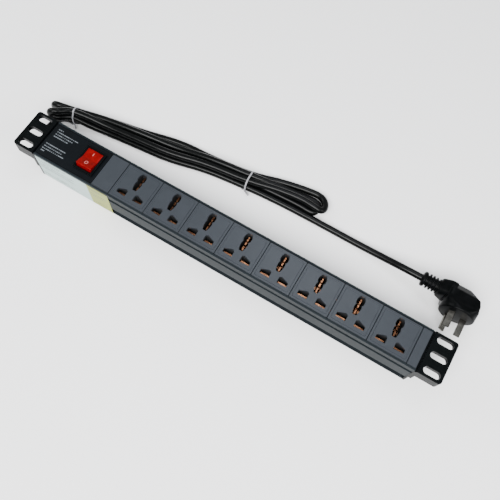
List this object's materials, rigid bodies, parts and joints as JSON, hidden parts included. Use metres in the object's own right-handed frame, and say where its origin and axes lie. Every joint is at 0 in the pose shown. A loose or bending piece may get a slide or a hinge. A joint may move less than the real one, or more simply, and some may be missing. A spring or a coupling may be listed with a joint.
{
  "type": "rack power strip",
  "caption": "One-unit rack power strip: aluminium channel with universal outlets, red rocker switch, slotted ears and a tied, corded right-angle plug.",
  "frame": {"origin": "middle of the back face of the channel, which rests on the table", "axes": "+X along the strip from the switch end to the far end, +Y across it away from the viewer, +Z out of the outlet face"},
  "size_m": [0.5046, 0.1332, 0.0505],
  "materials": {
    "channel": "satin anodised",
    "ear_moulding": "semi-gloss black",
    "insert_grey": "fine satin grey",
    "panel_black": "satin black",
    "base_moulding": "matt dark",
    "switch_black": "gloss black",
    "rocker_red": "translucent gloss red",
    "contact_brass": "bright",
    "steel": "zinc plated",
    "pvc_black": "glossy flexible pvc",
    "pvc_brown": "wire insulation",
    "pvc_blue": "wire insulation",
    "pvc_earth": "striped wire insulation",
    "neon_glass": "clear",
    "tie_grey": "matt light grey",
    "label_white": "satin printed film",
    "label_yellow": "satin printed film"
  },
  "bodies": {
    "strip": {"blank_panel_left": "insert_grey", "blank_panel_right": "insert_grey", "busbar_carrier": "base_moulding", "control_panel": "panel_black", "cord_gland": "pvc_black", "cord_hank": "pvc_black", "earth_busbar": "contact_brass", "earth_ring": "contact_brass", "earth_screw": "steel", "earth_wire_in": "pvc_earth", "earth_wire_out": "pvc_earth", "housing_extrusion": "channel", "inspection_label": "label_yellow", "left_end_cap": "ear_moulding", "left_end_screws": "steel", "live_busbar": "contact_brass", "live_wire": "pvc_brown", "neon_lamp": "neon_glass", "neutral_busbar": "contact_brass", "neutral_wire": "pvc_blue", "outlet_base_1": "base_moulding", "outlet_base_2": "base_moulding", "outlet_base_3": "base_moulding", "outlet_base_4": "base_moulding", "outlet_base_5": "base_moulding", "outlet_base_6": "base_moulding", "outlet_base_7": "base_moulding", "outlet_base_8": "base_moulding", "outlet_face_1": "insert_grey", "outlet_face_2": "insert_grey", "outlet_face_3": "insert_grey", "outlet_face_4": "insert_grey", "outlet_face_5": "insert_grey", "outlet_face_6": "insert_grey", "outlet_face_7": "insert_grey", "outlet_face_8": "insert_grey", "plug_body": "pvc_black", "plug_pin_earth": "contact_brass", "plug_pin_live": "contact_brass", "plug_pin_neutral": "contact_brass", "plug_strain_relief": "pvc_black", "power_cord_exit": "pvc_black", "power_cord_tail": "pvc_black", "rating_label": "label_white", "right_end_cap": "ear_moulding", "right_end_screws": "steel", "switch_housing": "switch_black", "switch_terminals": "contact_brass", "switched_live_wire": "pvc_brown", "twist_tie_left": "tie_grey", "twist_tie_right": "tie_grey"},
    "switch_rocker_body": {"switch_rocker": "rocker_red", "switch_plunger": "base_moulding", "switch_spring": "steel"},
    "switch_teeter_body": {"switch_teeter": "contact_brass"}
  },
  "joints": [
    {"name": "switch_rock", "type": "hinge", "parent": "strip", "child": "switch_rocker_body", "pos_m": [-0.1614, 0.0007, 0.04365], "axis": [1, 0, 0], "range_deg": [0, 22]},
    {"name": "contact_teeter", "type": "hinge", "parent": "strip", "child": "switch_teeter_body", "pos_m": [-0.1614, 0.0007, 0.0298], "axis": [1, 0, 0], "range_deg": [-15.5, 0]}
  ],
  "couplings": [
    {"joint": "contact_teeter", "follows": "switch_rock", "ratio": -0.7}
  ]
}
